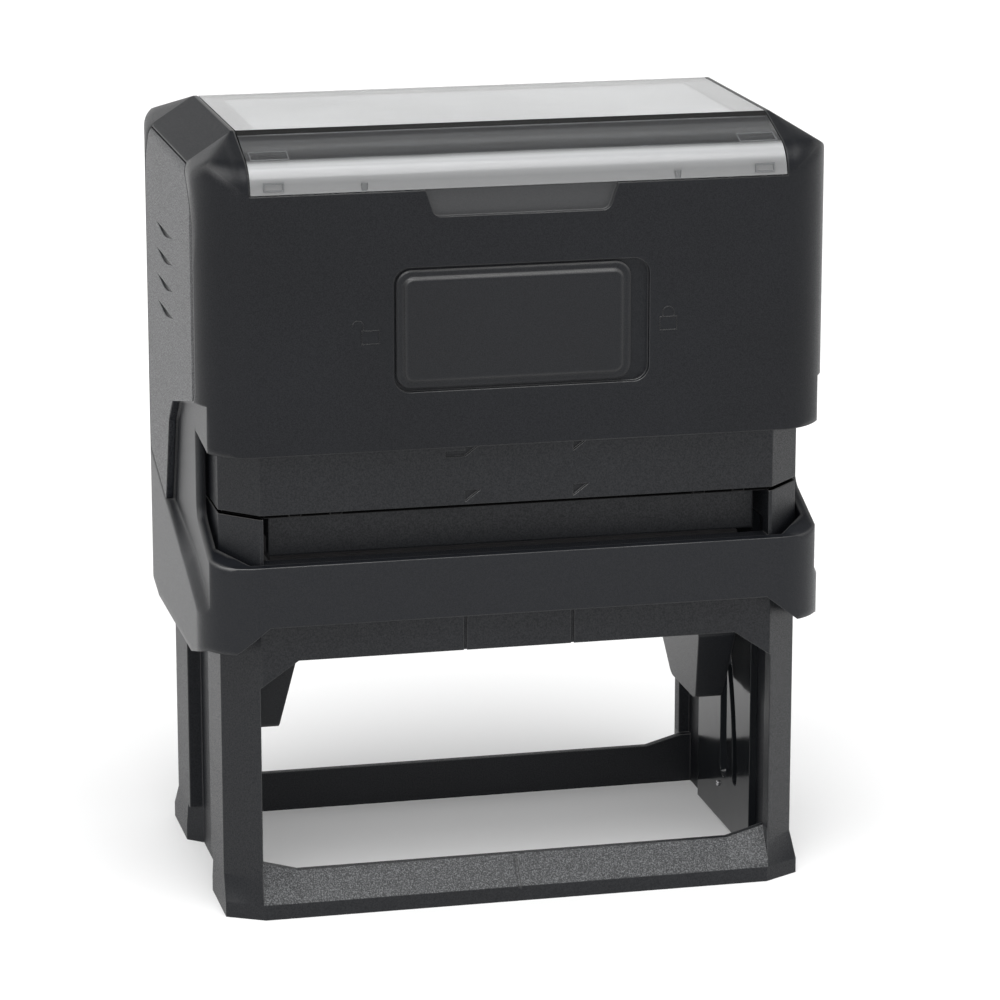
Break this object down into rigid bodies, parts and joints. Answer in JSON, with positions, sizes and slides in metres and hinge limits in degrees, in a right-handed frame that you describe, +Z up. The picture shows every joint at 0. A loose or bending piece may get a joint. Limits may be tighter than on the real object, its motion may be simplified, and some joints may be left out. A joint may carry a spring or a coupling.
{
  "type": "self inking stamp",
  "caption": "Free-standing self-inking text stamp: a sprung cap slides down an open frame and turns the text plate from an ink pad to the paper.",
  "frame": {"origin": "centre of the base's footprint, on the surface that the stamp stands on", "axes": "+X along the width, -Y towards the front with the lock, +Z up along the cap's travel"},
  "size_m": [0.0964, 0.0586, 0.1189],
  "materials": {
    "frame_plastic": "fine matte grain",
    "cam_plastic": "smooth and glossy",
    "spring_steel": "drawn wire",
    "pad_felt": "inked felt",
    "cap_plastic": "satin with fine grain",
    "panel_plastic": "coarse matte grain",
    "inner_plastic": "satin",
    "tray_plastic": "satin",
    "card_paper": "uncoated card",
    "cover_clear": "clear polished plastic",
    "plate_foam": "fine closed cells",
    "text_rubber": "laser cut rubber",
    "pin_steel": "ground"
  },
  "bodies": {
    "base": {"base_frame": "frame_plastic", "upper_frame": "frame_plastic", "cam_plate_left": "cam_plastic", "cam_plate_right": "cam_plastic", "return_spring_left": "spring_steel", "return_spring_right": "spring_steel"},
    "pad": {"pad_cartridge": "frame_plastic", "ink_pad": "pad_felt"},
    "cap": {"cap_shell": "cap_plastic", "side_panel_left": "panel_plastic", "side_panel_right": "panel_plastic", "yoke_left": "inner_plastic", "yoke_right": "inner_plastic", "card_tray": "tray_plastic", "index_card": "card_paper"},
    "cover": {"clear_cover": "cover_clear"},
    "lock": {"lock_button": "cap_plastic", "lock_catch": "inner_plastic"},
    "plate": {"plate_holder": "inner_plastic", "foam_layer": "plate_foam", "text_plate": "text_rubber", "pivot_pin_left": "pin_steel", "pivot_pin_right": "pin_steel", "cam_follower_left": "pin_steel", "cam_follower_right": "pin_steel"}
  },
  "joints": [
    {"name": "cap_press", "type": "slide", "parent": "base", "child": "cap", "axis": [0, 0, -1], "range_m": [0, 0.035], "stiffness_N_per_m": 350, "springref_m": -0.02, "deforming": ["return_spring_left", "return_spring_right"]},
    {"name": "plate_flip", "type": "hinge", "parent": "cap", "child": "plate", "pos_m": [0, 0, 0.045], "axis": [1, 0, 0], "range_deg": [0, 180]},
    {"name": "lock_slide", "type": "slide", "parent": "cap", "child": "lock", "axis": [1, 0, 0], "range_m": [0, 0.0025]},
    {"name": "cover_lift", "type": "slide", "parent": "cap", "child": "cover", "axis": [0, 0, 1], "range_m": [0, 0.02]},
    {"name": "pad_slide", "type": "slide", "parent": "base", "child": "pad", "axis": [0, -1, 0], "range_m": [0, 0.058]}
  ],
  "couplings": [
    {"joint": "plate_flip", "follows": "cap_press", "rad_per_m": 89.75}
  ]
}
